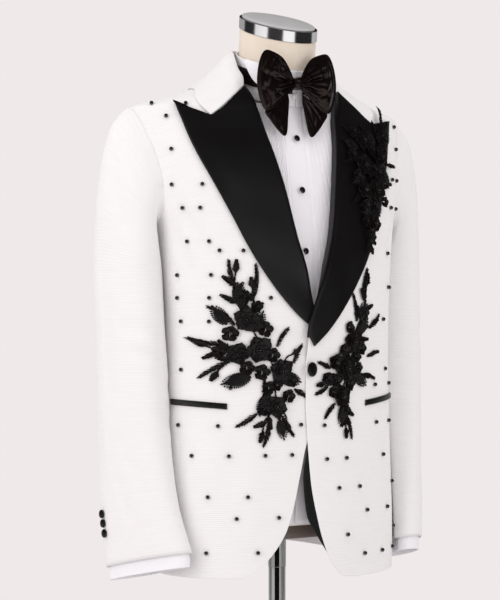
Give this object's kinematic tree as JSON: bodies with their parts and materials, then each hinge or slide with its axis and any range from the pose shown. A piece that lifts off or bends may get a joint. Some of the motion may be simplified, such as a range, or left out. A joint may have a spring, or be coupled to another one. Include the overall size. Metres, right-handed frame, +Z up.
{
  "type": "tuxedo on a dress form",
  "caption": "White tuxedo jacket with black satin peak lapels, black beads and floral applique, dress shirt and black bow tie, on a limbless dress form with a pole stand.",
  "frame": {"origin": "centre of the stand base's underside, on the floor under the pole", "axes": "+Z up along the pole and the body's height; the wearer's front looks to -Y; the wearer's left hand side is +X"},
  "size_m": [0.5356, 0.38, 1.6213],
  "materials": {
    "white_cloth": "matte ribbed",
    "black_satin": "satin",
    "black_lace": "matte, raised",
    "black_lining": "satin",
    "shirt_cloth": "smooth",
    "shirt_button": "gloss",
    "stud": "gloss",
    "bow_satin": "satin",
    "form_cloth": "matte",
    "form_band": "matte",
    "chrome": "polished",
    "cap": "satin"
  },
  "bodies": {
    "root": {"jacket_front_right": "white_cloth", "jacket_front_left": "white_cloth", "jacket_back_right": "white_cloth", "jacket_back_left": "white_cloth", "jacket_sleeve_right": "white_cloth", "jacket_sleeve_left": "white_cloth", "jacket_collar": "white_cloth", "jacket_lapel_right": "black_satin", "jacket_lapel_left": "black_satin", "jacket_welt_right": "black_satin", "jacket_welt_left": "black_satin", "jacket_front_button": "black_satin", "cuff_button_right_1": "black_satin", "cuff_button_right_2": "black_satin", "cuff_button_right_3": "black_satin", "cuff_button_left_1": "black_satin", "cuff_button_left_2": "black_satin", "cuff_button_left_3": "black_satin", "applique_waist_right": "black_lace", "applique_waist_left": "black_lace", "applique_lapel_left": "black_lace", "jacket_lining_left": "black_lining", "shirt_front_right": "shirt_cloth", "shirt_front_left": "shirt_cloth", "shirt_back": "shirt_cloth", "shirt_yoke_right": "shirt_cloth", "shirt_yoke_left": "shirt_cloth", "shirt_bib_right": "shirt_cloth", "shirt_bib_left": "shirt_cloth", "shirt_placket": "shirt_cloth", "shirt_collar_band": "shirt_cloth", "shirt_collar_wing_right": "shirt_cloth", "shirt_collar_wing_left": "shirt_cloth", "shirt_sleeve_right": "shirt_cloth", "shirt_sleeve_left": "shirt_cloth", "shirt_cuff_right": "shirt_cloth", "shirt_cuff_left": "shirt_cloth", "shirt_collar_button": "shirt_button", "shirt_stud_1": "stud", "shirt_stud_2": "stud", "shirt_stud_3": "stud", "bow_wing_right": "bow_satin", "bow_wing_left": "bow_satin", "bow_tail_right": "bow_satin", "bow_tail_left": "bow_satin", "bow_knot": "bow_satin", "bow_band": "bow_satin", "form_torso": "form_cloth", "form_base_band": "form_band", "neck_cap_band": "chrome", "stand_socket": "chrome", "stand_pole": "chrome", "stand_collar": "chrome", "stand_base": "chrome", "neck_cap_top": "cap"}
  },
  "joints": []
}
